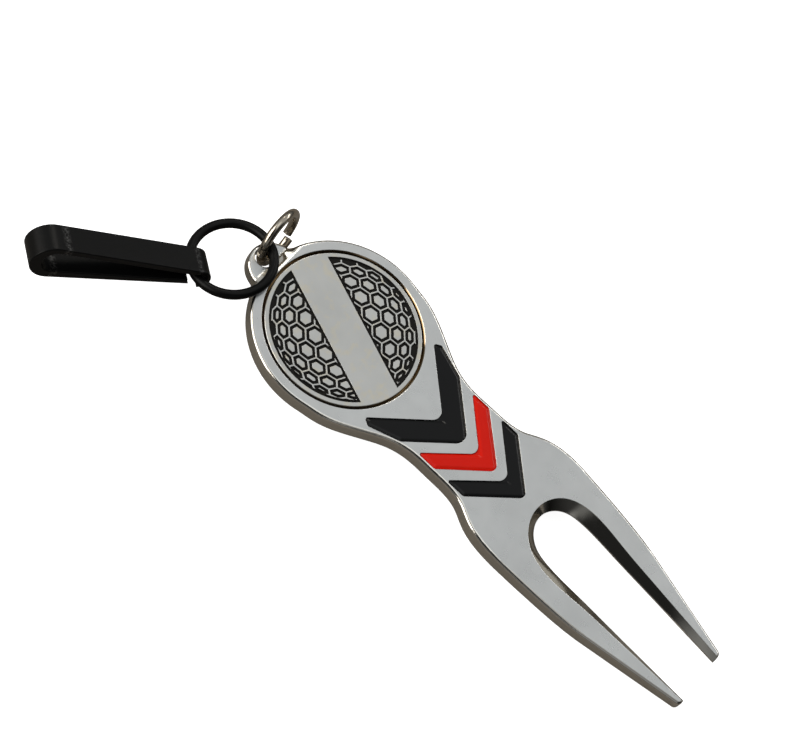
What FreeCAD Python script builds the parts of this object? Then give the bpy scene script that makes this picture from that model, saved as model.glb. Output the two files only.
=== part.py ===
"""Divot repair tool with a magnetic ball marker, a jump ring, a black ring and a belt clip.

Millimetres.  The origin is on the flat underside of the head, below the centre of the ball marker.
+X runs towards the prong tips, +Z is up, and the marker lies in the upper face.
"""
import FreeCAD, Part
import math
import os

from FreeCAD import Placement, Rotation, Vector

# ---- driving dimensions -------------------------------------------------------------------------
# tool body
THICKNESS = 2.8            # head and neck
TIP_THICKNESS = 2.1        # at the prong tips
HEAD_R = 14.6
HEAD_END_ANGLE = 78.0      # where the head's arc runs into the neck, degrees from +X
NECK_POINTS = [(6.0, 13.72), (9.0, 12.6), (11.5, 11.25), (14.0, 9.8), (17.0, 8.35), (20.0, 7.7), (24.0, 7.67),
               (28.0, 7.85), (30.0, 8.4), (32.0, 9.5), (34.0, 10.35), (37.0, 10.93), (42.0, 10.93),
               (50.0, 10.4), (57.0, 9.45)]
TIP_X = 74.3
TIP_OUTER = 5.75           # half width over the two tips
TIP_CORNER_R = 0.6
BEND_X = 37.0              # the prongs slope down from here
BEND_ANGLE = 6.0
BEND_RADIUS = 57.0
TOP_EDGE_R = 0.5
BOTTOM_EDGE_R = 0.4

# ear behind the head
EAR_X = -13.95
EAR_R = 4.05
EAR_FILLET_R = 1.6
EAR_DROP = 0.6             # the ear's top lies this much below the head's
EAR_STEP = (-12.9, -14.7)  # the top slopes down between these
EAR_HOLE_X = -15.8
EAR_HOLE_R = 1.5
EAR_HOLE_EDGE_R = 0.15

# fork slot: half widths at the ridge of its walls and at the faces, at each x
SLOT_APEX_RIDGE_X = 40.2
SLOT_APEX_FACE_X = 38.8
SLOT_SECTIONS = [(45.5, 4.65, 6.85), (52.0, 4.65, 6.5), (60.0, 4.5, 6.0), (68.0, 4.32, 5.5),
                 (TIP_X, 4.2, 5.15)]
SLOT_RIDGE_HEIGHT = 0.24

# enamel chevrons
ENAMEL_DEPTH = 0.5
ENAMEL_PROUD = 0.03
ENAMEL_BEVEL = 0.55       # the fill slopes down over this width along its outline
ENAMEL_DROP = 0.2
ENAMEL_CREST_R = 0.15
# each corner of the upper half is x, y and corner radius, from the outer apex to the inner apex
LARGE_CHEVRON = [(25.0, 0.0, 2.0), (17.4, 7.62, 1.1), (12.3, 9.5, 0.5), (11.15, 8.75, 0.4),
                 (19.9, 0.0, 1.7)]
RED_CHEVRON = [(31.0, 0.0, 1.2), (23.8, 7.08, 0.7), (20.3, 7.08, 0.3), (27.2, 0.0, 1.4)]
SMALL_CHEVRON = [(36.8, 0.0, 1.1), (29.6, 7.18, 0.7), (26.1, 7.18, 0.3), (33.1, 0.0, 1.6)]

# magnet under the marker
POCKET_R = 12.7
POCKET_DEPTH = 1.5
POCKET_EDGE_R = 0.2
MAGNET_R = 5.0
MAGNET_THICKNESS = 0.8
GLUE_THICKNESS = 0.1

# ball marker
MARKER_R = 12.42
MARKER_THICKNESS = 1.45
MARKER_EDGE_R = 0.15
PATTERN_R = 11.75
BAND_WIDTH = 6.5
BAND_ANGLE = -22.0
RECESS_DEPTH = 0.4
FILL_THICKNESS = 0.14
BORDER_GAP = 0.42          # groove between the pattern's cells and its border
WALL = 0.22                # wall between two cells
CHANNEL = 0.48             # groove round each flat
CELL_PITCH = 3.27
CELL_ANGLE = -20.0
BALL_R = 12.0              # the cells lie as on a ball of this radius, seen from above
CELL_PHASE = {"near": (1.2, -8.8), "far": (1.5, 5.3)}

# jump ring, an open wire ring through the ear
JUMP_R = 4.3               # centre line
JUMP_WIRE_R = 0.7
JUMP_CENTRE = Vector(-16.49, 4.01, 2.51)
JUMP_LEAN = 11.9           # its top leans away from the head
JUMP_GAP_ANGLE = -44.0     # from the far side, upwards
JUMP_GAP = 6.0             # degrees of ring left out
JUMP_OFFSET = 0.6          # sideways between the two cut ends

# black ring, closed, through the jump ring and the clip's eye
BLACK_R = 6.25             # centre line
BLACK_WIRE_R = 0.75
BLACK_CENTRE = Vector(-19.09, -4.08, 2.33)
BLACK_NORMAL = Vector(-0.244, -0.055, 0.9682)

# belt clip, one bent strip; u runs from the bend to the eye, v up through the strip, w across it
CLIP_WIDTH = 4.6
CLIP_THICKNESS = 1.1
CLIP_U = Vector(0.685, 0.695, -0.219)
CLIP_V = Vector(0.0065, 0.295, 0.955)
EYE_R = 1.38               # inside; the ring's wire curves within it
EYE_OUTER_R = 2.1
EYE_END_THICKNESS = 0.45
EYE_INSET = 0.42           # from the wire's centre line towards the ring's centre
EYE_SHIFT = 0.85           # of the clip along the eye's axis
EYE_U = 1.1                # from the end of the flat leaf to the eye's centre
EYE_END_ANGLE = -66.0
BEND_R = 3.35              # outside
BEND_U = -22.1
BEND_SWELL = 0.45          # the bend is this much thicker at its middle
LEAF_END_R = 1.45          # round the eye's centre
LEAF_END_ANGLES = (230.5, 191.0)
LEAF_SLOPE = 9.0
CLIP_EDGE_R = 0.2

MARKER_BASE_Z = THICKNESS - POCKET_DEPTH
TIP_MIDDLE_Z = THICKNESS - (TIP_X - BEND_X) * math.tan(math.radians(BEND_ANGLE)) - TIP_THICKNESS / 2
EAR_TOP_Z = THICKNESS - EAR_DROP
BIG = 60.0


# ---- helpers ------------------------------------------------------------------------------------
def save(shape, node):
    shape.exportStep(os.path.join("parts", node + ".step"))


def arc(start, middle, end):
    return Part.Arc(start, middle, end).toShape()


def line(start, end):
    return Part.LineSegment(start, end).toShape()


def spline(points, start_tangent=None, end_tangent=None):
    """A smooth edge through points, at unit speed, so that unit end tangents fit it."""
    lengths = [0.0]
    for i in range(1, len(points)):
        lengths.append(lengths[-1] + (points[i] - points[i - 1]).Length)
    curve = Part.BSplineCurve()
    if start_tangent is None:
        curve.interpolate(Points=points, Parameters=lengths)
    else:
        curve.interpolate(Points=points, Parameters=lengths, InitialTangent=start_tangent,
                          FinalTangent=end_tangent, Scale=False)
    return curve.toShape()


def polar(centre, radius, degrees):
    angle = math.radians(degrees)
    return centre + Vector(radius * math.cos(angle), radius * math.sin(angle), 0)


def mirrored(point):
    return Vector(point.x, -point.y, point.z)


def rounded_polygon(corners, z):
    """A closed wire through (x, y, corner radius) corners, with an arc at each corner."""
    edges = []
    previous_end = None
    first_start = None
    count = len(corners)
    for i in range(count):
        x, y, radius = corners[i]
        here = Vector(x, y, z)
        before = Vector(corners[i - 1][0], corners[i - 1][1], z)
        after = Vector(corners[(i + 1) % count][0], corners[(i + 1) % count][1], z)
        back = (before - here).normalize()
        forward = (after - here).normalize()
        half_angle = back.getAngle(forward) / 2
        reach = radius / math.tan(half_angle)
        start = here + back * reach
        end = here + forward * reach
        bisector = (back + forward).normalize()
        middle = here + bisector * (radius / math.sin(half_angle) - radius)
        if previous_end is not None:
            edges.append(line(previous_end, start))
        else:
            first_start = start
        edges.append(arc(start, middle, end))
        previous_end = end
    edges.append(line(previous_end, first_start))
    return Part.Wire(edges)


def fillet_edges(shape, chosen, radius):
    """Rounds the edges that chosen(edge) picks."""
    edges = [edge for edge in shape.Edges if chosen(edge)]
    return shape.makeFillet(radius, edges)


# ---- tool body ----------------------------------------------------------------------------------
def body_outline():
    """The plan of the head, neck and prongs as one closed wire at z = 0, without the slot."""
    head_end = polar(Vector(0, 0, 0), HEAD_R, HEAD_END_ANGLE)
    head_tangent = Vector(math.sin(math.radians(HEAD_END_ANGLE)), -math.cos(math.radians(HEAD_END_ANGLE)), 0)
    tip_corner = Vector(TIP_X - TIP_CORNER_R, TIP_OUTER + 0.13, 0)
    flank = [head_end] + [Vector(x, y, 0) for x, y in NECK_POINTS]
    tip_direction = (tip_corner - flank[-1]).normalize()

    # concave fillet between the ear's circle and the head's circle
    ear_centre = Vector(EAR_X, 0, 0)
    to_head = HEAD_R + EAR_FILLET_R
    to_ear = EAR_R + EAR_FILLET_R
    fillet_x = (to_head ** 2 - to_ear ** 2 + EAR_X ** 2) / (2 * EAR_X)
    fillet_centre = Vector(fillet_x, math.sqrt(to_head ** 2 - fillet_x ** 2), 0)
    on_head = fillet_centre * (HEAD_R / to_head)
    on_ear = ear_centre + (fillet_centre - ear_centre) * (EAR_R / to_ear)
    towards_body = (on_head - fillet_centre + on_ear - fillet_centre).normalize()
    fillet_middle = fillet_centre + towards_body * EAR_FILLET_R
    head_middle_angle = (math.degrees(math.atan2(on_head.y, on_head.x)) + HEAD_END_ANGLE) / 2
    head_middle = polar(Vector(0, 0, 0), HEAD_R, head_middle_angle)

    tip_end = Vector(TIP_X, TIP_OUTER - TIP_CORNER_R, 0)
    tip_middle = Vector(TIP_X - 0.3 * TIP_CORNER_R, TIP_OUTER - 0.25 * TIP_CORNER_R, 0)
    upper = [arc(on_ear, fillet_middle, on_head),
             arc(on_head, head_middle, head_end),
             spline(flank, head_tangent, tip_direction),
             line(flank[-1], tip_corner),
             arc(tip_corner, tip_middle, tip_end)]
    lower = [arc(mirrored(on_ear), mirrored(fillet_middle), mirrored(on_head)),
             arc(mirrored(on_head), mirrored(head_middle), mirrored(head_end)),
             spline([mirrored(p) for p in flank], mirrored(head_tangent), mirrored(tip_direction)),
             line(mirrored(flank[-1]), mirrored(tip_corner)),
             arc(mirrored(tip_corner), mirrored(tip_middle), mirrored(tip_end))]
    ear = arc(on_ear, ear_centre - Vector(EAR_R, 0, 0), mirrored(on_ear))
    tip = line(tip_end, mirrored(tip_end))
    return Part.Wire(Part.__sortEdges__(upper + lower + [ear, tip]))


def side_profile():
    """The side view of the tool as a face in the XZ plane: flat head, prongs sloping down."""
    slope = math.tan(math.radians(BEND_ANGLE))
    reach = BEND_RADIUS * math.tan(math.radians(BEND_ANGLE / 2))
    end_x = TIP_X + 5
    top_end = Vector(end_x, 0, THICKNESS - (end_x - BEND_X) * slope)
    tip_bottom_z = THICKNESS - (TIP_X - BEND_X) * slope - TIP_THICKNESS
    bottom_slope = -tip_bottom_z / (TIP_X - BEND_X)
    bottom_end = Vector(end_x, 0, -(end_x - BEND_X) * bottom_slope)

    def bend(z, down):
        start = Vector(BEND_X - reach, 0, z)
        end = Vector(BEND_X + reach, 0, z - reach * down)
        middle = Vector(BEND_X, 0, z - reach * down / 4)
        return start, middle, end

    top_start, top_middle, top_bend_end = bend(THICKNESS, slope)
    low_start, low_middle, low_bend_end = bend(0, bottom_slope)
    step_start = Vector(EAR_STEP[0], 0, THICKNESS)
    step_end = Vector(EAR_STEP[1], 0, EAR_TOP_Z)
    rear_top = Vector(EAR_X - EAR_R - 5, 0, EAR_TOP_Z)
    rear_bottom = Vector(EAR_X - EAR_R - 5, 0, 0)
    edges = [line(rear_bottom, low_start),
             arc(low_start, low_middle, low_bend_end),
             line(low_bend_end, bottom_end),
             line(bottom_end, top_end),
             line(top_end, top_bend_end),
             arc(top_bend_end, top_middle, top_start),
             line(top_start, step_start),
             spline([step_start, step_end], Vector(-1, 0, 0), Vector(-1, 0, 0)),
             line(step_end, rear_top),
             line(rear_top, rear_bottom)]
    return Part.Face(Part.Wire(edges))


def slot_wire(z, bevel):
    """The slot's outline at height z above its ridge plane; bevel is 0 at the ridge, 1 at a face."""
    apex_x = SLOT_APEX_RIDGE_X + (SLOT_APEX_FACE_X - SLOT_APEX_RIDGE_X) * bevel
    points = []
    for x, ridge, face in SLOT_SECTIONS:
        points.append(Vector(x, ridge + (face - ridge) * bevel, z))
    outside = Vector(TIP_X + 6, points[-1].y - 0.3, z)
    points.append(outside)
    shoulder_width = points[0].y
    shoulder = [Vector(apex_x + (points[0].x - apex_x) * (1 - math.cos(math.radians(a))),
                       shoulder_width * math.sin(math.radians(a)), z) for a in (0, 30, 60)]
    right = shoulder + points
    left = [mirrored(p) for p in reversed(right[1:])]
    curve = spline(left + right)
    return Part.Wire([curve, line(right[-1], left[0])])


def slot_cutter():
    """A slot whose walls slant in from both faces to a ridge at half thickness."""
    half = THICKNESS / 2
    flat = SLOT_RIDGE_HEIGHT / 2
    over = 1.6
    ridge = Part.Face(slot_wire(-flat, 0)).extrude(Vector(0, 0, 2 * flat))
    pieces = [ridge]
    for side in (1, -1):
        wires = [slot_wire(side * flat, 0), slot_wire(side * (flat + (half - flat) * over), over)]
        pieces.append(Part.makeLoft(wires, True, True))
    cutter = pieces[0].fuse(pieces[1:])
    tilt = math.degrees(math.atan2((THICKNESS - TIP_THICKNESS) / 2, TIP_X - BEND_X))
    cutter.rotate(Vector(BEND_X, 0, 0), Vector(0, 1, 0), BEND_ANGLE - tilt)
    cutter.translate(Vector(0, 0, half))
    return cutter


def chevron_solid(corners, bottom_z, top_z):
    lower = [(x, -y, radius) for x, y, radius in reversed(corners[1:-1])]
    wire = rounded_polygon(corners + lower, bottom_z)
    return Part.Face(wire).extrude(Vector(0, 0, top_z - bottom_z))


def tool_body():
    """The one-piece body: plan and side view crossed, then rounded and cut."""
    plan = Part.Face(body_outline()).extrude(Vector(0, 0, BIG))
    plan.translate(Vector(0, 0, -BIG / 2))
    side = side_profile().extrude(Vector(0, BIG, 0))
    side.translate(Vector(0, -BIG / 2, 0))
    body = plan.common(side)

    body = fillet_edges(body, lambda e: is_rim(e, 1), TOP_EDGE_R)
    body = fillet_edges(body, lambda e: is_rim(e, -1), BOTTOM_EDGE_R)
    body = body.cut(slot_cutter())

    hole = Part.makeCylinder(EAR_HOLE_R, 10, Vector(EAR_HOLE_X, 0, -5))
    body = body.cut(hole)
    body = fillet_edges(body, is_hole_rim, EAR_HOLE_EDGE_R)

    pocket = Part.makeCylinder(POCKET_R, 10, Vector(0, 0, MARKER_BASE_Z))
    rim = Part.makeCone(POCKET_R, POCKET_R + 1, 1, Vector(0, 0, THICKNESS - POCKET_EDGE_R))
    pocket = pocket.fuse(rim)
    magnet_depth = MAGNET_THICKNESS + GLUE_THICKNESS
    seat = Part.makeCylinder(MAGNET_R, magnet_depth + 1, Vector(0, 0, MARKER_BASE_Z - magnet_depth))
    body = body.cut(pocket).cut(seat)
    for corners in (LARGE_CHEVRON, RED_CHEVRON, SMALL_CHEVRON):
        body = body.cut(chevron_solid(corners, THICKNESS - ENAMEL_DEPTH, THICKNESS + 1))
    return body


def is_outer(edge):
    """True where an edge runs along the outline of the body and not across it or in the slot."""
    box = edge.BoundBox
    if box.ZLength > 1.0 and box.XLength < 0.01:
        return False
    across = abs(box.YMax + box.YMin) < 0.01 and box.YLength > 1 and box.XLength < 0.01
    middle = edge.valueAt((edge.FirstParameter + edge.LastParameter) / 2)
    if middle.x > TIP_X - 0.01:
        return abs(middle.z - TIP_MIDDLE_Z) > 0.8 * TIP_THICKNESS / 2
    in_slot = middle.x > SLOT_APEX_FACE_X - 1 and max(-box.YMin, box.YMax) < SLOT_SECTIONS[0][2] + 0.2
    in_slot = in_slot and abs(middle.x - TIP_X) > 1
    return not across and not in_slot


def is_rim(edge, side):
    """True for the outline's upper (side 1) or lower (side -1) edges."""
    middle = edge.valueAt((edge.FirstParameter + edge.LastParameter) / 2)
    drop = max(0.0, middle.x - BEND_X) * math.tan(math.radians(BEND_ANGLE))
    step = EAR_DROP / 2 if middle.x < EAR_STEP[0] else 0.0
    middle_z = THICKNESS / 2 - drop * 0.95 - step / 2
    return is_outer(edge) and (middle.z - middle_z) * side > 0


def is_hole_rim(edge):
    """True for the ends of the hole in the ear."""
    box = edge.BoundBox
    axis = Vector(EAR_HOLE_X, 0, 0)
    for vertex in edge.Vertexes:
        across = Vector(vertex.Point.x, vertex.Point.y, 0) - axis
        if abs(across.Length - EAR_HOLE_R) > 0.01:
            return False
    return box.ZLength < 1 and box.YLength > 0.5


# ---- pieces in the tool -------------------------------------------------------------------------
def wedge_above_bevel(start, end, inward, top_z):
    """What lies above a plane that rises over one edge, to top_z at the bevel's width inside it."""
    slope = ENAMEL_DROP / ENAMEL_BEVEL
    outside = 4.0
    inside = ENAMEL_BEVEL + 0.5
    along = (end - start).normalize()
    far_out = start - inward * outside
    far_in = start + inward * inside
    edge_z = top_z - ENAMEL_DROP
    corners = [Vector(far_out.x, far_out.y, edge_z - outside * slope),
               Vector(far_in.x, far_in.y, edge_z + inside * slope),
               Vector(far_in.x, far_in.y, top_z + 3),
               Vector(far_out.x, far_out.y, top_z + 3)]
    face = Part.Face(Part.makePolygon(corners + [corners[0]]))
    face.translate(along * -20)
    return face.extrude(along * BIG)


def chevron_enamel(corners):
    """A glossy fill that slopes down to its outline, as it settles in its recess."""
    bottom_z = THICKNESS - ENAMEL_DEPTH
    top_z = THICKNESS + ENAMEL_PROUD
    ends = [Vector(x, y, bottom_z) for x, y, radius in corners]
    centre = Vector(0, 0, 0)
    for point in ends:
        centre = centre + point * (1.0 / len(ends))
    half = Part.Face(Part.makePolygon(ends + [ends[0]])).extrude(Vector(0, 0, top_z - bottom_z))
    for start, end in zip(ends[:-1], ends[1:]):
        along = (end - start).normalize()
        inward = Vector(-along.y, along.x, 0)
        if inward.dot(centre - start) < 0:
            inward = inward * -1
        half = half.cut(wedge_above_bevel(start, end, inward, top_z))
    whole = half.fuse(half.mirror(Vector(0, 0, 0), Vector(0, 1, 0))).removeSplitter()
    solid = whole.common(chevron_solid(corners, bottom_z, top_z))
    solid = fillet_edges(solid, lambda e: e.BoundBox.ZMin > top_z - 0.001, ENAMEL_CREST_R)
    # below the bevel it fills its recess out to the rounded corners
    return solid.fuse(chevron_solid(corners, bottom_z, top_z - ENAMEL_DROP)).removeSplitter()


def magnet():
    base_z = MARKER_BASE_Z - MAGNET_THICKNESS
    return Part.makeCylinder(MAGNET_R, MAGNET_THICKNESS, Vector(0, 0, base_z))


def magnet_glue():
    base_z = MARKER_BASE_Z - MAGNET_THICKNESS - GLUE_THICKNESS
    return Part.makeCylinder(MAGNET_R, GLUE_THICKNESS, Vector(0, 0, base_z))


# ---- ball marker --------------------------------------------------------------------------------
def segment_face(side, inset, z):
    """The part of the marker's round pattern on one side of the plain band, drawn in by inset."""
    radius = PATTERN_R - inset
    edge_y = BAND_WIDTH / 2 + inset
    half = math.sqrt(radius ** 2 - edge_y ** 2)
    start = Vector(-half, edge_y * side, z)
    end = Vector(half, edge_y * side, z)
    face = Part.Face(Part.Wire([line(start, end), arc(end, Vector(0, radius * side, z), start)]))
    face.rotate(Vector(0, 0, 0), Vector(0, 0, 1), BAND_ANGLE)
    return face


def ball_view(point):
    """Where a point of the flat cell grid shows on a ball seen from above."""
    distance = point.Length
    if distance < 1e-9:
        return point
    return point * (BALL_R * math.sin(distance / BALL_R) / distance)


def clipped(points, base, inward):
    """The part of a convex polygon on the inward side of the line through base."""
    kept = []
    for i in range(len(points)):
        here = points[i - 1]
        ahead = points[i]
        depth_here = inward.dot(here - base)
        depth_ahead = inward.dot(ahead - base)
        if depth_here >= 0:
            kept.append(here)
        if depth_here * depth_ahead < 0:
            kept.append(here + (ahead - here) * (depth_here / (depth_here - depth_ahead)))
    return kept


def inset_polygon(points, inset):
    """A convex polygon drawn in by inset, or None where too little is left."""
    centre = Vector(0, 0, 0)
    for point in points:
        centre = centre + point * (1.0 / len(points))
    left = points
    for i in range(len(points)):
        along = (points[i] - points[i - 1]).normalize()
        inward = Vector(-along.y, along.x, 0)
        if inward.dot(centre - points[i]) < 0:
            inward = inward * -1
        left = clipped(left, points[i] + inward * inset, inward)
        if len(left) < 3:
            return None
    corners = [left[i] for i in range(len(left)) if (left[i] - left[i - 1]).Length > 0.04]
    if len(corners) < 3 or polygon_face(corners, 0).Area < 0.06:
        return None
    return corners


def polygon_face(points, z):
    closed = [Vector(p.x, p.y, z) for p in points]
    return Part.Face(Part.makePolygon(closed + [closed[0]]))


def cell_polygons(phase):
    """The six-sided cells, as on a golf ball, over the whole marker."""
    axis_a = polar(Vector(0, 0, 0), CELL_PITCH, CELL_ANGLE)
    axis_b = polar(Vector(0, 0, 0), CELL_PITCH, CELL_ANGLE + 60)
    corner_r = CELL_PITCH / math.sqrt(3)
    reach = BALL_R * math.pi / 2 - corner_r
    cells = []
    for i in range(-10, 11):
        for j in range(-10, 11):
            centre = Vector(phase[0], phase[1], 0) + axis_a * i + axis_b * j
            if centre.Length < reach:
                cells.append([ball_view(polar(centre, corner_r, CELL_ANGLE + 30 + 60 * k)) for k in range(6)])
    return cells


def groove_faces(side, phase, z):
    """The plan of one segment's recess: a border groove and a groove round each raised flat."""
    reach = segment_face(side, BORDER_GAP / 2, z)
    grooves = []
    for cell in cell_polygons(phase):
        outer = inset_polygon(cell, WALL / 2)
        if outer is None:
            continue
        ring = polygon_face(outer, z)
        flat = inset_polygon(cell, WALL / 2 + CHANNEL)
        if flat is not None:
            ring = ring.cut(polygon_face(flat, z))
        ring = ring.common(reach)
        if ring.Area > 0.1:
            grooves.extend(ring.Faces)
    border = segment_face(side, 0, z).cut(segment_face(side, BORDER_GAP, z))
    return border.fuse(grooves).removeSplitter()


def marker_plans():
    top_z = MARKER_BASE_Z + MARKER_THICKNESS
    plans = {}
    for name, side in (("near", -1), ("far", 1)):
        plans[name] = groove_faces(side, CELL_PHASE[name], top_z - RECESS_DEPTH)
    return plans


def raised(plan, height):
    """Everything above a plan up to height, its touching parts joined."""
    solids = [face.extrude(Vector(0, 0, height)) for face in plan.Faces]
    return solids[0].fuse(solids[1:]).removeSplitter()


def marker_disc(plans):
    disc = Part.makeCylinder(MARKER_R, MARKER_THICKNESS, Vector(0, 0, MARKER_BASE_Z))
    disc = disc.makeFillet(MARKER_EDGE_R, [e for e in disc.Edges if e.Curve.TypeId == "Part::GeomCircle"])
    for plan in plans.values():
        disc = disc.cut(raised(plan, RECESS_DEPTH + 1))
    return disc


# ---- rings --------------------------------------------------------------------------------------
def jump_ring():
    """An open ring: one turn of a very flat helix, so that its ends lie side by side."""
    turn = 360.0 - JUMP_GAP
    height = JUMP_OFFSET
    path = Part.makeHelix(height * 360.0 / turn, height, JUMP_R)
    helix = path.Edges[0]
    start = helix.valueAt(helix.FirstParameter)
    tangent = helix.tangentAt(helix.FirstParameter)
    profile = Part.Wire([Part.makeCircle(JUMP_WIRE_R, start, tangent)])
    ring = Part.Wire(path.Edges).makePipeShell([profile], True, True)
    ring = ring if ring.ShapeType == "Solid" else Part.makeSolid(ring)
    ring.translate(Vector(0, 0, -height / 2))
    ring.rotate(Vector(0, 0, 0), Vector(0, 0, 1), JUMP_GAP_ANGLE + JUMP_GAP / 2)
    # the helix's axis goes to +X, its starting direction to +Y, and then the ring leans back
    to_upright = Rotation(Vector(0, 1, 0), Vector(0, 0, 1), Vector(1, 0, 0), "ZXY")
    ring.Placement = Placement(Vector(0, 0, 0), to_upright).multiply(ring.Placement)
    lean = Placement(JUMP_CENTRE, Rotation(Vector(0, 1, 0), -JUMP_LEAN))
    ring.Placement = lean.multiply(ring.Placement)
    return ring


def black_ring():
    return Part.makeTorus(BLACK_R, BLACK_WIRE_R, BLACK_CENTRE, BLACK_NORMAL)


def eye_centre():
    """The middle of the clip's eye, round the part of the black ring that it holds."""
    across = CLIP_U.cross(CLIP_V)
    radial = across.cross(BLACK_NORMAL).normalize()
    if radial.dot(CLIP_U) > 0:
        radial = radial * -1
    return BLACK_CENTRE + radial * (BLACK_R - EYE_INSET) + across * EYE_SHIFT


# ---- belt clip ----------------------------------------------------------------------------------
def clip_profile():
    """The clip's side view, as a face in the XY plane with u as X and v as Y."""
    eye = Vector(EYE_U, -EYE_OUTER_R, 0)
    bend = Vector(BEND_U, -BEND_R, 0)
    inner_bend_r = BEND_R - CLIP_THICKNESS - BEND_SWELL / 2
    inner_bend = Vector(BEND_U + BEND_SWELL, -CLIP_THICKNESS - inner_bend_r, 0)
    low = 270 + LEAF_SLOPE      # from the bend's centre to where the lower leaf starts, degrees
    outer_low = polar(bend, BEND_R, low)
    inner_low = polar(inner_bend, inner_bend_r, low)
    # the lower leaf's end is hollowed to clear the ring in the eye
    low_angle, high_angle = LEAF_END_ANGLES
    tip_low = polar(eye, LEAF_END_R, low_angle)
    tip_middle = polar(eye, LEAF_END_R, (low_angle + high_angle) / 2)
    tip_high = polar(eye, LEAF_END_R, high_angle)
    hook_end_r = EYE_R + EYE_END_THICKNESS      # the strip thins towards the eye's end
    hook_middle_r = EYE_OUTER_R + 0.35 * (hook_end_r - EYE_OUTER_R)
    hook_right = polar(eye, EYE_OUTER_R, 0)
    hook_low = polar(eye, hook_end_r, EYE_END_ANGLE)
    hook_outside = [hook_right, polar(eye, hook_middle_r, 0.4 * EYE_END_ANGLE), hook_low]
    hook_direction = polar(Vector(0, 0, 0), 1, EYE_END_ANGLE - 90)
    hook_high = polar(eye, EYE_R, EYE_END_ANGLE)
    rise = math.degrees(math.asin((EYE_OUTER_R - CLIP_THICKNESS) / EYE_R))
    eye_start = polar(eye, EYE_R, 180 - rise)
    inner_start = Vector(inner_bend.x, -CLIP_THICKNESS, 0)
    edges = [line(Vector(BEND_U, 0, 0), Vector(EYE_U, 0, 0)),
             arc(Vector(EYE_U, 0, 0), polar(eye, EYE_OUTER_R, 45), hook_right),
             spline(hook_outside, Vector(0, -1, 0), hook_direction),
             line(hook_low, hook_high),
             arc(hook_high, polar(eye, EYE_R, 0), eye_start),
             line(eye_start, inner_start),
             arc(inner_start, polar(inner_bend, inner_bend_r, 180), inner_low),
             line(inner_low, tip_high),
             arc(tip_high, tip_middle, tip_low),
             line(tip_low, outer_low),
             arc(outer_low, polar(bend, BEND_R, 180), Vector(BEND_U, 0, 0))]
    return Part.Face(Part.Wire(edges))


def on_a_side(edge, faces_z):
    """True for an edge that lies flat in one of the strip's two side faces."""
    box = edge.BoundBox
    return box.ZLength < 0.01 and min(abs(box.ZMin - z) for z in faces_z) < 0.01


def belt_clip():
    """The strip, rounded along its long edges, turned so that its eye is on the black ring."""
    strip = clip_profile().extrude(Vector(0, 0, CLIP_WIDTH))
    strip.translate(Vector(-EYE_U, EYE_OUTER_R, -CLIP_WIDTH / 2))
    faces_z = (-CLIP_WIDTH / 2, CLIP_WIDTH / 2)
    strip = fillet_edges(strip, lambda e: on_a_side(e, faces_z), CLIP_EDGE_R)
    turn = Rotation(CLIP_U, CLIP_V, CLIP_U.cross(CLIP_V), "XYZ")
    strip.Placement = Placement(eye_centre(), turn).multiply(strip.Placement)
    return strip


def main():
    os.makedirs("parts", exist_ok=True)
    plans = marker_plans()
    pieces = {
        "tool_body": tool_body(),
        "large_black_chevron": chevron_enamel(LARGE_CHEVRON),
        "red_chevron": chevron_enamel(RED_CHEVRON),
        "small_black_chevron": chevron_enamel(SMALL_CHEVRON),
        "magnet_glue_bed": magnet_glue(),
        "marker_magnet": magnet(),
        "marker_disc": marker_disc(plans),
        "marker_fill_near": raised(plans["near"], FILL_THICKNESS),
        "marker_fill_far": raised(plans["far"], FILL_THICKNESS),
        "jump_ring": jump_ring(),
        "black_ring": black_ring(),
        "belt_clip": belt_clip(),
    }
    for node, shape in pieces.items():
        save(shape, node)
        print(node, "valid" if shape.isValid() else "NOT VALID", len(shape.Solids), "solids",
              round(shape.Volume, 2), "mm3")
    print("eye centre", eye_centre())


if __name__ == "__main__":
    main()
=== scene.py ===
"""Looks of the divot repair tool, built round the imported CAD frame.  Metres throughout."""
import bpy
import math
from mathutils import Matrix, Vector


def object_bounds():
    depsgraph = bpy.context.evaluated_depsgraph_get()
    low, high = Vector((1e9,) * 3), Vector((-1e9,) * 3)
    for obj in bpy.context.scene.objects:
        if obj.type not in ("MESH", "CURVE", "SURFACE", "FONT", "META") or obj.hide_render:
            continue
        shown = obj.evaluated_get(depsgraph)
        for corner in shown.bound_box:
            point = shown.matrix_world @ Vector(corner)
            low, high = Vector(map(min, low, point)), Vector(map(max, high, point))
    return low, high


MM = 0.001
MARKER_TOP = 2.75 * MM                   # the middle of the marker's face is above the origin
CLIP_ALONG = (0.685, 0.695, -0.219)      # from the clip's bend to its eye
EYE_CENTRE = (-22.11 * MM, -9.04 * MM, 1.33 * MM)

# camera, in degrees and metres
AZIMUTH = 3.15
ELEVATION = 58.5
ROLL = 40.26                             # lays the tool diagonally in the picture
DISTANCE = 450 * MM
TURN_RIGHT = 0.956                       # leaves the marker left of the picture's middle
TURN_DOWN = 0.7185                       # and above it
SENSOR_WIDTH = 36.0
FOCAL_LENGTH = 138.62

WHITE = (1.0, 1.0, 1.0)

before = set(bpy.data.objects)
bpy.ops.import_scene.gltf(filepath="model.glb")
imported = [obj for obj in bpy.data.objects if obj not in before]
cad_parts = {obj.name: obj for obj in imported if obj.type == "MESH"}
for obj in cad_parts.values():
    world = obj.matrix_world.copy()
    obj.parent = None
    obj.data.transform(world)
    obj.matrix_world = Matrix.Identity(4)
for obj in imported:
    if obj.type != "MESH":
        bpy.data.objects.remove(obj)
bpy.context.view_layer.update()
scene = bpy.context.scene
scene.view_settings.view_transform = "Standard"


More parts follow.
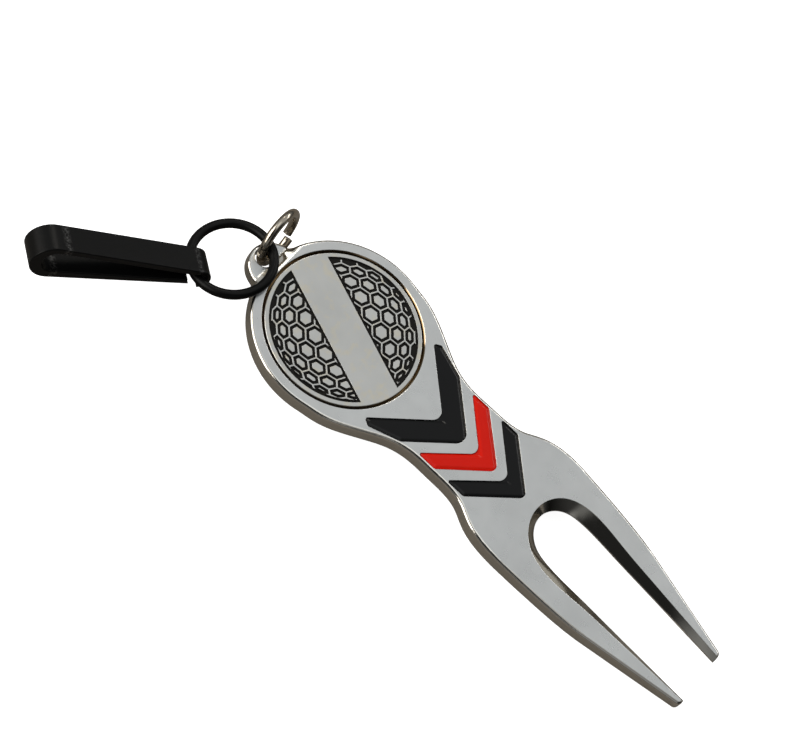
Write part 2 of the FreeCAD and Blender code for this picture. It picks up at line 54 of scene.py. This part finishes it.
# ---- camera -----------------------------------------------------------------------------------
def make_camera():
    """A long lens that looks down on the marker, then turns a little to the right and down."""
    azimuth = math.radians(AZIMUTH)
    elevation = math.radians(ELEVATION)
    roll = math.radians(ROLL)
    marker_left = math.tan(math.radians(TURN_RIGHT))
    marker_above = math.tan(math.radians(TURN_DOWN))
    side = Vector((math.cos(azimuth), math.sin(azimuth), 0))
    near = Vector((math.sin(azimuth), -math.cos(azimuth), 0))
    up = Vector((0, 0, 1))
    back = near * math.cos(elevation) + up * math.sin(elevation)
    level_up = near * -math.sin(elevation) + up * math.cos(elevation)
    right = side * math.cos(roll) + level_up * math.sin(roll)
    top = side * -math.sin(roll) + level_up * math.cos(roll)
    location = Vector((0, 0, MARKER_TOP)) + back * DISTANCE

    forward = (-back + right * marker_left - top * marker_above).normalized()
    cam_right = (right - forward * right.dot(forward)).normalized()
    cam_up = cam_right.cross(forward)
    data = bpy.data.cameras.new("camera")
    data.sensor_width = SENSOR_WIDTH
    data.lens = FOCAL_LENGTH
    data.clip_start = 0.01
    data.clip_end = 10
    camera = bpy.data.objects.new("camera", data)
    scene.collection.objects.link(camera)
    columns = Matrix((cam_right, cam_up, -forward)).transposed()
    camera.matrix_world = Matrix.Translation(location) @ columns.to_4x4()
    scene.camera = camera


make_camera()


# ---- node trees -------------------------------------------------------------------------------
class Tree:
    """A node tree with short ways to add to it."""

    def __init__(self, tree):
        self.tree = tree

    def add(self, kind, **values):
        node = self.tree.nodes.new(kind)
        for key, value in values.items():
            setattr(node, key, value)
        return node

    def link(self, output, target):
        self.tree.links.new(output, target)

    def feed(self, socket, value):
        """Sets a socket to a number or colour, or links an output to it."""
        if isinstance(value, (int, float)):
            socket.default_value = value
        elif isinstance(value, tuple):
            socket.default_value = value + (1.0,)
        else:
            self.link(value, socket)

    def math(self, operation, first, second=None):
        node = self.add("ShaderNodeMath", operation=operation)
        self.feed(node.inputs[0], first)
        if second is not None:
            self.feed(node.inputs[1], second)
        return node.outputs[0]

    def remap(self, value, from_low, from_high, to_low, to_high, curve="LINEAR"):
        """Takes one range to another and holds the ends."""
        node = self.add("ShaderNodeMapRange", interpolation_type=curve)
        node.inputs["From Min"].default_value = from_low
        node.inputs["From Max"].default_value = from_high
        node.inputs["To Min"].default_value = to_low
        node.inputs["To Max"].default_value = to_high
        self.link(value, node.inputs["Value"])
        return node.outputs["Result"]


class Material(Tree):
    """A Principled material.  Lengths and positions are in the object's own space."""

    def __init__(self, name):
        self.material = bpy.data.materials.new(name)
        self.material.use_nodes = True
        super().__init__(self.material.node_tree)
        self.shader = self.tree.nodes["Principled BSDF"]
        self.coordinates = self.add("ShaderNodeTexCoord")

    def noise(self, scale, detail, stretch=(1, 1, 1)):
        """Noise of this many cycles per metre."""
        mapping = self.add("ShaderNodeMapping")
        mapping.inputs["Scale"].default_value = stretch
        self.link(self.coordinates.outputs["Object"], mapping.inputs["Vector"])
        noise = self.add("ShaderNodeTexNoise")
        noise.inputs["Scale"].default_value = scale
        noise.inputs["Detail"].default_value = detail
        noise.inputs["Roughness"].default_value = 0.5
        self.link(mapping.outputs["Vector"], noise.inputs["Vector"])
        return noise.outputs["Fac"]

    def mix_colour(self, factor, first, second):
        node = self.add("ShaderNodeMix", data_type="RGBA")
        self.link(factor, node.inputs[0])
        self.feed(node.inputs[6], first)
        self.feed(node.inputs[7], second)
        return node.outputs[2]

    def mix_value(self, factor, first, second):
        node = self.add("ShaderNodeMix", data_type="FLOAT")
        self.link(factor, node.inputs[0])
        self.feed(node.inputs[2], first)
        self.feed(node.inputs[3], second)
        return node.outputs[0]

    def bump(self, height, distance, strength, under=None):
        """Normals of a surface raised by height, on top of the normals under it."""
        node = self.add("ShaderNodeBump")
        node.inputs["Distance"].default_value = distance
        node.inputs["Strength"].default_value = strength
        self.link(height, node.inputs["Height"])
        if under is not None:
            self.link(under, node.inputs["Normal"])
        return node.outputs["Normal"]

    def rounded_edges(self, radius):
        """Normals as if sharp edges had this radius."""
        node = self.add("ShaderNodeBevel", samples=6)
        node.inputs["Radius"].default_value = radius
        return node.outputs["Normal"]

    def distance_along(self, direction, origin):
        """How far a point lies from an origin along a direction."""
        offset = self.add("ShaderNodeVectorMath", operation="SUBTRACT")
        offset.inputs[1].default_value = origin
        self.link(self.coordinates.outputs["Object"], offset.inputs[0])
        dot = self.add("ShaderNodeVectorMath", operation="DOT_PRODUCT")
        dot.inputs[1].default_value = direction
        self.link(offset.outputs[0], dot.inputs[0])
        return dot.outputs["Value"]

    def stripe(self, value, middle, half_width):
        """1 where a value is at middle, falling to 0 at half_width from it."""
        away = self.math("ABSOLUTE", self.math("SUBTRACT", value, middle))
        return self.remap(away, 0.0, half_width, 1.0, 0.0)

    def normal_z(self):
        split = self.add("ShaderNodeSeparateXYZ")
        self.link(self.coordinates.outputs["Normal"], split.inputs["Vector"])
        return split.outputs["Z"]

    def ring_mask(self, inner, outer, blur):
        """1 between two radii round the upright axis, falling to 0 within blur of either."""
        flat = self.add("ShaderNodeVectorMath", operation="MULTIPLY")
        flat.inputs[1].default_value = (1, 1, 0)
        self.link(self.coordinates.outputs["Object"], flat.inputs[0])
        radius = self.add("ShaderNodeVectorMath", operation="LENGTH")
        self.link(flat.outputs[0], radius.inputs[0])
        above = self.remap(radius.outputs["Value"], inner, inner + blur, 0.0, 1.0)
        below = self.remap(radius.outputs["Value"], outer - blur, outer, 1.0, 0.0)
        return self.math("MULTIPLY", above, below)

    def set(self, **values):
        """Sets or links the shader's sockets, named with _ for a space."""
        for key, value in values.items():
            self.feed(self.shader.inputs[key.replace("_", " ")], value)


# ---- materials --------------------------------------------------------------------------------
def body_nickel():
    """Mottled satin flats, polished rounded edges tinted warm as a painted reflection, and painted
    shade with a golden glint where the marker meets its pocket.
    """
    m = Material("body_nickel")
    flat = m.remap(m.normal_z(), 0.95, 0.995, 0.0, 1.0)
    clouds = m.noise(140, 4)
    mottle = m.noise(420, 3)
    grain = m.noise(9000, 2)
    polished = 0.09
    satin = m.mix_value(mottle, 0.22, 0.36)
    tone = m.mix_colour(clouds, (0.65, 0.655, 0.65), (0.82, 0.83, 0.825))
    # painted reflection: edges and side walls are tinted warm wherever they turn away from the
    # flat
    painted_warm_reflection = (0.78, 0.74, 0.67)
    # painted shade and golden glint: a darker golden-brown ring in the gap round the marker
    painted_gap_shade = (0.30, 0.19, 0.085)
    gap_shaded = m.ring_mask(inner=12.3 * MM, outer=12.9 * MM, blur=0.12 * MM)
    colour = m.mix_colour(gap_shaded, m.mix_colour(flat, painted_warm_reflection, tone), painted_gap_shade)
    normal = m.bump(grain, 0.004 * MM, 0.5, m.rounded_edges(0.14 * MM))
    m.set(Base_Color=colour, Metallic=1.0, Roughness=m.mix_value(flat, polished, satin),
          Normal=normal)
    return m.material


def marker_nickel():
    """Satin flats with fine scratches and warm patches; the edge in the gap is painted nearly
    black as painted shade.
    """
    m = Material("marker_nickel")
    clouds = m.noise(200, 4)
    grain = m.noise(12000, 2)
    scratches = m.noise(700, 2, stretch=(1.0, 9.0, 1.0))
    warm = m.remap(m.noise(650, 3), 0.5, 0.7, 0.0, 1.0)
    tone = m.mix_colour(clouds, (0.64, 0.64, 0.62), (0.72, 0.72, 0.70))
    tone = m.mix_colour(warm, tone, (0.74, 0.70, 0.60))
    # painted shade: the marker's edge in the gap is nearly black and barely metallic
    painted_gap_shade = (0.03, 0.022, 0.014)
    gap_shaded = m.ring_mask(inner=12.36 * MM, outer=12.9 * MM, blur=0.06 * MM)
    normal = m.bump(grain, 0.004 * MM, 0.5, m.rounded_edges(0.06 * MM))
    normal = m.bump(scratches, 0.008 * MM, 0.4, normal)
    m.set(Base_Color=m.mix_colour(gap_shaded, tone, painted_gap_shade), Metallic=m.mix_value(gap_shaded, 1.0, 0.2),
          Roughness=m.mix_value(clouds, 0.24, 0.38), Normal=normal)
    return m.material


def ring_nickel():
    """Bright, slightly yellow wire with an uneven tone."""
    m = Material("ring_nickel")
    clouds = m.noise(500, 3)
    grain = m.noise(5000, 3)
    m.set(Base_Color=m.mix_colour(clouds, (0.42, 0.37, 0.30), (0.66, 0.60, 0.51)),
          Metallic=1.0, Roughness=m.mix_value(grain, 0.10, 0.22),
          Normal=m.bump(grain, 0.01 * MM, 0.4))
    return m.material


def enamel(name, dark, light, gloss):
    """Poured enamel: nearly even colour under a clear coat that shows its slight waves."""
    m = Material(name)
    clouds = m.noise(300, 3)
    waves = m.noise(250, 1)
    normal = m.bump(waves, 0.06 * MM, 0.5, m.rounded_edges(0.35 * MM))
    m.set(Base_Color=m.mix_colour(clouds, dark, light),
          Roughness=m.mix_value(clouds, 0.12, 0.2), Normal=normal, Specular_IOR_Level=0.05,
          Coat_Weight=gloss, Coat_Roughness=0.06, Coat_Normal=normal)
    return m.material


def marker_paint():
    """Black paint in the marker's recesses, matt and a little gritty."""
    m = Material("marker_paint")
    grit = m.noise(3000, 4)
    m.set(Base_Color=m.mix_colour(grit, (0.002, 0.002, 0.002), (0.012, 0.010, 0.008)),
          Roughness=m.mix_value(grit, 0.3, 0.6), Normal=m.bump(grit, 0.03 * MM, 0.6),
          Specular_IOR_Level=0.15)
    return m.material


def black_coating(name, grain_height):
    """Black coating on metal, semi-gloss, with a fine grain."""
    m = Material(name)
    grain = m.noise(3500, 4)
    rubbed = m.noise(180, 3)
    m.set(Base_Color=m.mix_colour(rubbed, (0.002, 0.002, 0.002), (0.005, 0.005, 0.005)),
          Roughness=m.mix_value(rubbed, 0.28, 0.42), Normal=m.bump(grain, grain_height, 0.5),
          Specular_IOR_Level=0.15)
    return m


def clip_coating():
    """The same coating, rubbed thin across the strip where it starts to bend and at its eye, with
    a painted highlight there: lighter and shinier bands.
    """
    m = black_coating("clip_coating", 0.02 * MM)
    along = m.distance_along(CLIP_ALONG, EYE_CENTRE)
    # wear with a painted highlight: lighter, shinier bands across the strip at the bend's start
    # and at the eye
    at_bend = m.stripe(along, -22.0 * MM, 0.7 * MM)
    at_eye = m.stripe(along, -0.3 * MM, 0.5 * MM)
    patchy = m.remap(m.noise(2600, 3), 0.42, 0.62, 0.0, 0.8)
    worn_and_highlight = m.math("MULTIPLY", m.math("MAXIMUM", at_bend, at_eye), patchy)
    m.set(Specular_IOR_Level=m.mix_value(worn_and_highlight, 0.15, 0.9),
          Roughness=m.mix_value(worn_and_highlight, 0.36, 0.30),
          Base_Color=m.mix_colour(worn_and_highlight, (0.0035, 0.0035, 0.0035), (0.045, 0.044, 0.042)))
    return m.material


def magnet_metal():
    """Plated magnet, hidden under the marker."""
    m = Material("magnet_metal")
    clouds = m.noise(300, 3)
    m.set(Base_Color=m.mix_colour(clouds, (0.55, 0.55, 0.56), (0.64, 0.64, 0.65)),
          Metallic=1.0, Roughness=m.mix_value(clouds, 0.2, 0.3))
    return m.material


def glue_film():
    """Yellowish set glue, hidden under the magnet."""
    m = Material("glue_film")
    clouds = m.noise(600, 3)
    m.set(Base_Color=m.mix_colour(clouds, (0.5, 0.46, 0.36), (0.6, 0.56, 0.46)),
          Roughness=m.mix_value(clouds, 0.2, 0.4))
    return m.material


black = enamel("black_enamel", (0.001, 0.001, 0.0012), (0.002, 0.002, 0.0025), 0.5)
paint = marker_paint()
finishes = {
    "tool_body": body_nickel(),
    "large_black_chevron": black,
    "red_chevron": enamel("red_enamel", (0.76, 0.007, 0.0), (0.83, 0.010, 0.0), 0.35),
    "small_black_chevron": black,
    "magnet_glue_bed": glue_film(),
    "marker_magnet": magnet_metal(),
    "marker_disc": marker_nickel(),
    "marker_fill_near": paint,
    "marker_fill_far": paint,
    "jump_ring": ring_nickel(),
    "black_ring": black_coating("ring_coating", 0.012 * MM).material,
    "belt_clip": clip_coating(),
}
for node, finish in finishes.items():
    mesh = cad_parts[node].data
    for index in range(len(mesh.materials)):
        mesh.materials[index] = finish


# ---- floor and light --------------------------------------------------------------------------
def make_floor():
    """White paper to the camera; a mid grey, as a matt table, in reflections and as bounce."""
    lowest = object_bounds()[0].z
    half = 3.0
    mesh = bpy.data.meshes.new("floor")
    corners = [(-half, -half, lowest), (half, -half, lowest),
               (half, half, lowest), (-half, half, lowest)]
    mesh.from_pydata(corners, [], [(0, 1, 2, 3)])
    floor = bpy.data.objects.new("floor", mesh)
    scene.collection.objects.link(floor)
    m = Material("floor_paper")
    seen = m.add("ShaderNodeLightPath").outputs["Is Camera Ray"]
    fibres = m.noise(900, 3)
    paper = m.mix_colour(fibres, (0.90, 0.90, 0.90), (0.94, 0.94, 0.94))
    table = (0.27, 0.25, 0.225)
    m.set(Base_Color=m.mix_colour(seen, table, paper), Roughness=0.95, Specular_IOR_Level=0.0,
          Emission_Color=WHITE, Emission_Strength=m.mix_value(seen, 0.0, 0.92))
    mesh.materials.append(m.material)


class World(Tree):
    """The studio as seen from the tool: brightness by direction."""

    def __init__(self):
        world = bpy.data.worlds.new("studio")
        scene.world = world
        world.use_nodes = True
        super().__init__(world.node_tree)
        self.direction = self.add("ShaderNodeTexCoord").outputs["Generated"]

    def patch(self, towards, edge, core):
        """1 within core degrees of a direction, falling to 0 at edge degrees."""
        dot = self.add("ShaderNodeVectorMath", operation="DOT_PRODUCT")
        self.link(self.direction, dot.inputs[0])
        dot.inputs[1].default_value = Vector(towards).normalized()
        return self.remap(dot.outputs["Value"], math.cos(math.radians(edge)),
                          math.cos(math.radians(core)), 0.0, 1.0, "SMOOTHSTEP")

    def darken(self, level, towards, edge, core, by):
        """Takes this share of the light away round a direction."""
        shade = self.math("MULTIPLY", self.patch(towards, edge, core), -by)
        return self.math("MULTIPLY", level, self.math("ADD", shade, 1.0))


def make_world():
    """An even sky with a bright patch overhead, dark where the photographer would stand and
    beyond the prongs' tips."""
    world = World()
    split = world.add("ShaderNodeSeparateXYZ")
    world.link(world.direction, split.inputs["Vector"])
    sky = world.remap(split.outputs["Z"], 0.05, 0.75, 0.05, 0.52, "SMOOTHSTEP")
    overhead = world.math("MULTIPLY", world.patch((0.0, 0.05, 1.0), edge=19, core=8), 0.6)
    level = world.math("ADD", sky, overhead)
    level = world.darken(level, (0.03, -0.62, 0.78), edge=34, core=18, by=0.97)
    level = world.darken(level, (0.86, -0.1, 0.5), edge=42, core=24, by=0.93)
    background = world.tree.nodes["Background"]
    background.inputs["Color"].default_value = (0.97, 0.995, 1.0, 1.0)
    world.link(level, background.inputs["Strength"])


def area_light(name, location, target, size, power, colour):
    """A rectangle that faces its target; power in watts."""
    data = bpy.data.lights.new(name, "AREA")
    data.shape = "RECTANGLE"
    data.size, data.size_y = size
    data.energy = power
    data.color = colour
    light = bpy.data.objects.new(name, data)
    light.location = location
    direction = Vector(target) - Vector(location)
    light.rotation_euler = direction.to_track_quat("-Z", "Y").to_euler()
    scene.collection.objects.link(light)


make_floor()
make_world()
area_light("key", location=(-0.34, 0.50, 0.54), target=(0.0, 0, 0), size=(0.16, 0.16),
           power=0.5, colour=(1.0, 0.95, 0.86))
area_light("fill", location=(0.22, 0.68, 0.44), target=(0.03, 0, 0), size=(0.5, 0.12),
           power=0.7, colour=(1.0, 0.98, 0.95))
area_light("front", location=(-0.62, -0.48, 0.42), target=(0.02, 0, 0), size=(0.9, 0.7),
           power=6.0, colour=(1.0, 0.97, 0.92))
